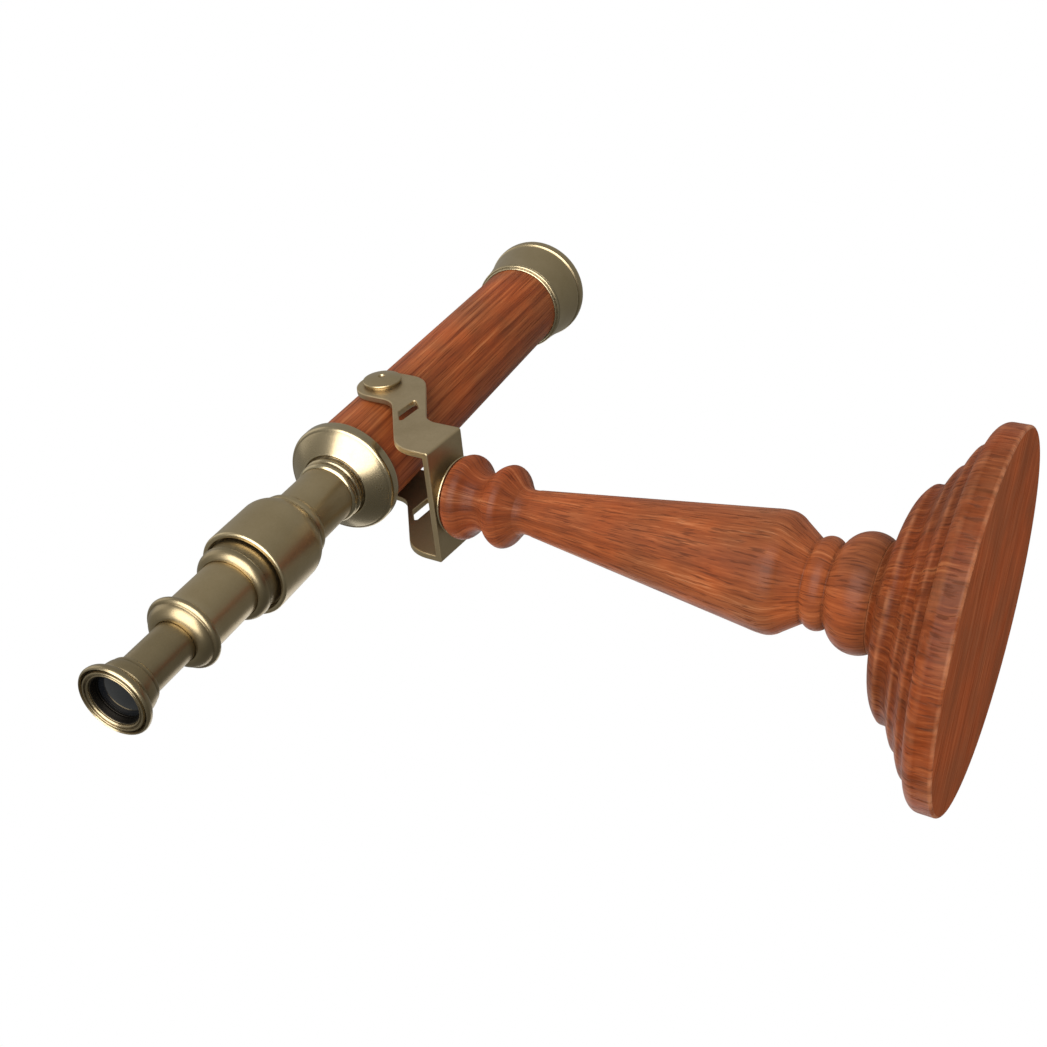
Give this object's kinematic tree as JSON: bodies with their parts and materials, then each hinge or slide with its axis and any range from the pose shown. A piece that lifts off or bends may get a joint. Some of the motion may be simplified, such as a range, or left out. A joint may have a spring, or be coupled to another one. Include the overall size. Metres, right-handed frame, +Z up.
{
  "type": "desk telescope on turned pedestal",
  "caption": "Wood and brass draw telescope held in a slotted U-bracket on a turned wooden pedestal; it swivels, tilts, and slides at its draw tube and eyepiece.",
  "frame": {"origin": "centre of the plinth's underside, the face that rests on the table", "axes": "+Z up along the column, +X the level direction in which the objective points, +Y along the tilt axis, to the left of someone looking along +X"},
  "size_m": [0.3475, 0.1204, 0.2976],
  "materials": {
    "mahogany": "oiled, satin",
    "antique_brass": "antique satin",
    "blackened_brass": "blackened, matt",
    "spring_steel": "brushed",
    "lens_glass": "polished"
  },
  "bodies": {
    "stand": {"plinth": "mahogany", "column": "mahogany", "swivel_insert": "antique_brass", "swivel_washer": "antique_brass", "swivel_screw": "antique_brass"},
    "yoke": {"bracket": "antique_brass", "spring_washer": "spring_steel"},
    "telescope": {"barrel": "mahogany", "barrel_liner": "blackened_brass", "rear_flange": "antique_brass", "neck_tube": "antique_brass", "sleeve": "antique_brass", "draw_gland": "antique_brass", "front_cap": "antique_brass", "objective_flint": "lens_glass", "objective_crown": "lens_glass", "objective_ring": "antique_brass", "pivot_inserts": "antique_brass", "pivot_screws": "antique_brass"},
    "main_draw": {"draw_tube": "antique_brass", "draw_stop": "antique_brass", "draw_collar": "antique_brass"},
    "eyepiece_draw": {"eyepiece_tube": "antique_brass", "eyepiece_stop": "antique_brass", "eye_cup": "antique_brass", "eye_ring": "antique_brass", "eye_lens": "lens_glass", "field_stop": "blackened_brass", "field_spacer": "blackened_brass", "field_lens": "lens_glass", "field_ring": "antique_brass"}
  },
  "joints": [
    {"name": "swivel", "type": "hinge", "parent": "stand", "child": "yoke", "pos_m": [0, 0, 0.1944], "axis": [0, 0, 1], "continuous": true},
    {"name": "tilt", "type": "hinge", "parent": "yoke", "child": "telescope", "pos_m": [0.0302, 0, 0.24655], "axis": [0, 1, 0], "range_deg": [-20, 60]},
    {"name": "main_draw_slide", "type": "slide", "parent": "telescope", "child": "main_draw", "axis": [-0.9888, 0, -0.1495], "range_m": [-0.0165, 0.0022]},
    {"name": "eyepiece_slide", "type": "slide", "parent": "main_draw", "child": "eyepiece_draw", "axis": [-0.9888, 0, -0.1495], "range_m": [-0.019, 0.0037]}
  ]
}
